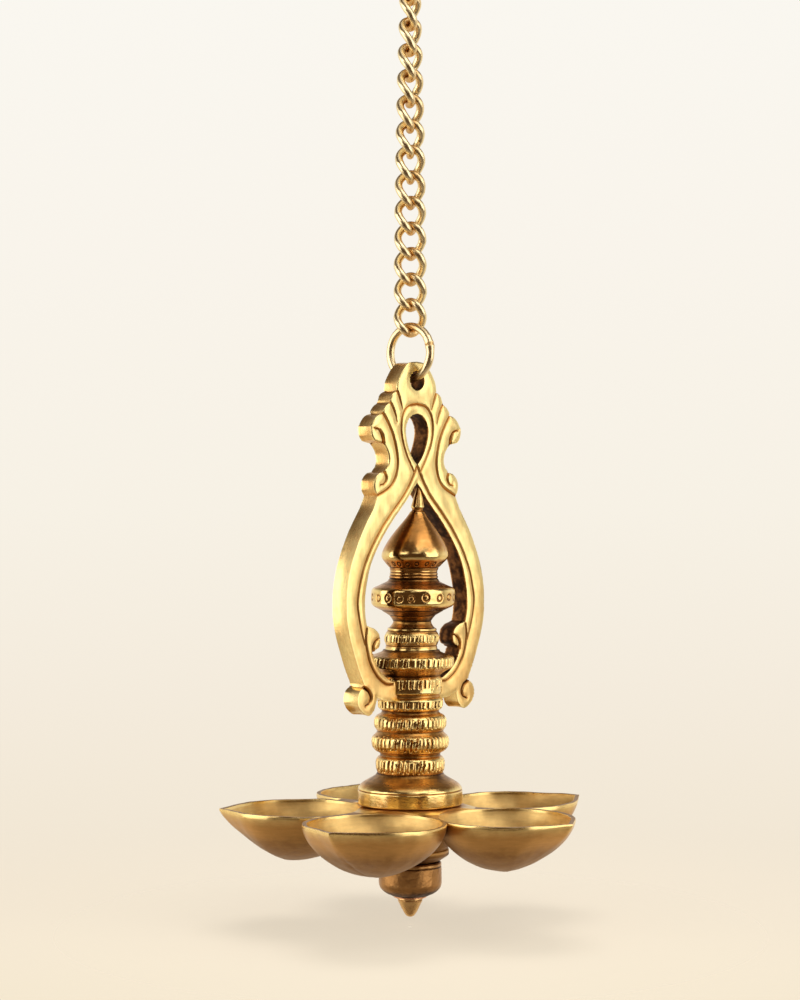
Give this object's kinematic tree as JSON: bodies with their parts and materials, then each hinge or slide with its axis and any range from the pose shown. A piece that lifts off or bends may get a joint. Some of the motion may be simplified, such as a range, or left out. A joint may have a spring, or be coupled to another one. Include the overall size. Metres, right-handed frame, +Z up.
{
  "type": "hanging oil lamp",
  "caption": "Hanging brass oil lamp: pointed cups in one round tray, a turned stem in a pierced frame, on a ring, a curb chain and a hook.",
  "frame": {"origin": "point inside the top of the hook, where it bears on the ceiling fixing", "axes": "+Z up along the chain; the pierced frame stands in the XZ plane with its ornamented front towards -Y"},
  "size_m": [0.1708, 0.169, 0.4673],
  "materials": {
    "brass": "cast and turned brass, satin, with brown patina in the recesses",
    "pale_brass": "brushed brass, pale and bright on its front face",
    "dark_brass": "tarnished cast brass",
    "copper": "worn copper"
  },
  "bodies": {
    "hook": {"ceiling_hook": "brass"},
    "link_14": {"chain_link_14": "brass"},
    "link_13": {"chain_link_13": "brass"},
    "link_12": {"chain_link_12": "brass"},
    "link_11": {"chain_link_11": "brass"},
    "link_10": {"chain_link_10": "brass"},
    "link_09": {"chain_link_09": "brass"},
    "link_08": {"chain_link_08": "brass"},
    "link_07": {"chain_link_07": "brass"},
    "link_06": {"chain_link_06": "brass"},
    "link_05": {"chain_link_05": "brass"},
    "link_04": {"chain_link_04": "brass"},
    "link_03": {"chain_link_03": "brass"},
    "link_02": {"chain_link_02": "brass"},
    "link_01": {"chain_link_01": "brass"},
    "ring": {"hanging_ring": "brass"},
    "lamp": {"pierced_frame": "pale_brass", "finial": "brass", "punched_disc": "brass", "knurled_neck": "brass", "knurled_disc": "brass", "stem_upper": "brass", "stem_lower": "brass", "base_flare": "brass", "oil_tray": "brass", "bottom_knob": "dark_brass", "tip_washer": "copper", "drip_nut": "dark_brass", "tie_rod": "dark_brass"}
  },
  "joints": [
    {"name": "hook_to_link_14", "type": "hinge", "parent": "hook", "child": "link_14", "pos_m": [0, 0, -0.0348], "axis": [0.1925, 0.9813, 0], "range_deg": [-45, 45]},
    {"name": "link_14_to_13", "type": "hinge", "parent": "link_14", "child": "link_13", "pos_m": [0, 0, -0.04635], "axis": [-0.0157, 0.9999, 0], "range_deg": [-45, 45]},
    {"name": "link_13_to_12", "type": "hinge", "parent": "link_13", "child": "link_12", "pos_m": [0, 0, -0.058], "axis": [-0.0941, -0.9956, 0], "range_deg": [-45, 45]},
    {"name": "link_12_to_11", "type": "hinge", "parent": "link_12", "child": "link_11", "pos_m": [0, 0, -0.06965], "axis": [-0.2028, -0.9792, 0], "range_deg": [-45, 45]},
    {"name": "link_11_to_10", "type": "hinge", "parent": "link_11", "child": "link_10", "pos_m": [0, 0, -0.0813], "axis": [0.309, 0.9511, 0], "range_deg": [-45, 45]},
    {"name": "link_10_to_09", "type": "hinge", "parent": "link_10", "child": "link_09", "pos_m": [0, 0, -0.09295], "axis": [0.4115, 0.9114, 0], "range_deg": [-45, 45]},
    {"name": "link_09_to_08", "type": "hinge", "parent": "link_09", "child": "link_08", "pos_m": [0, 0, -0.1046], "axis": [-0.509, -0.8607, 0], "range_deg": [-45, 45]},
    {"name": "link_08_to_07", "type": "hinge", "parent": "link_08", "child": "link_07", "pos_m": [0, 0, -0.11625], "axis": [-0.6004, -0.7997, 0], "range_deg": [-45, 45]},
    {"name": "link_07_to_06", "type": "hinge", "parent": "link_07", "child": "link_06", "pos_m": [0, 0, -0.1279], "axis": [0.6845, 0.729, 0], "range_deg": [-45, 45]},
    {"name": "link_06_to_05", "type": "hinge", "parent": "link_06", "child": "link_05", "pos_m": [0, 0, -0.13955], "axis": [0.7604, 0.6494, 0], "range_deg": [-45, 45]},
    {"name": "link_05_to_04", "type": "hinge", "parent": "link_05", "child": "link_04", "pos_m": [0, 0, -0.1512], "axis": [-0.8271, -0.5621, 0], "range_deg": [-45, 45]},
    {"name": "link_04_to_03", "type": "hinge", "parent": "link_04", "child": "link_03", "pos_m": [0, 0, -0.16285], "axis": [-0.8838, -0.4679, 0], "range_deg": [-45, 45]},
    {"name": "link_03_to_02", "type": "hinge", "parent": "link_03", "child": "link_02", "pos_m": [0, 0, -0.1745], "axis": [0.9298, 0.3681, 0], "range_deg": [-45, 45]},
    {"name": "link_02_to_01", "type": "hinge", "parent": "link_02", "child": "link_01", "pos_m": [0, 0, -0.18615], "axis": [0.9646, 0.2639, 0], "range_deg": [-45, 45]},
    {"name": "link_01_to_ring", "type": "hinge", "parent": "link_01", "child": "ring", "pos_m": [0, 0, -0.1978], "axis": [-0.9877, -0.1564, 0], "range_deg": [-50, 50]},
    {"name": "ring_to_lamp", "type": "hinge", "parent": "ring", "child": "lamp", "pos_m": [0, 0, -0.21805], "axis": [-0.1184, 0.993, 0], "range_deg": [-60, 60]}
  ]
}
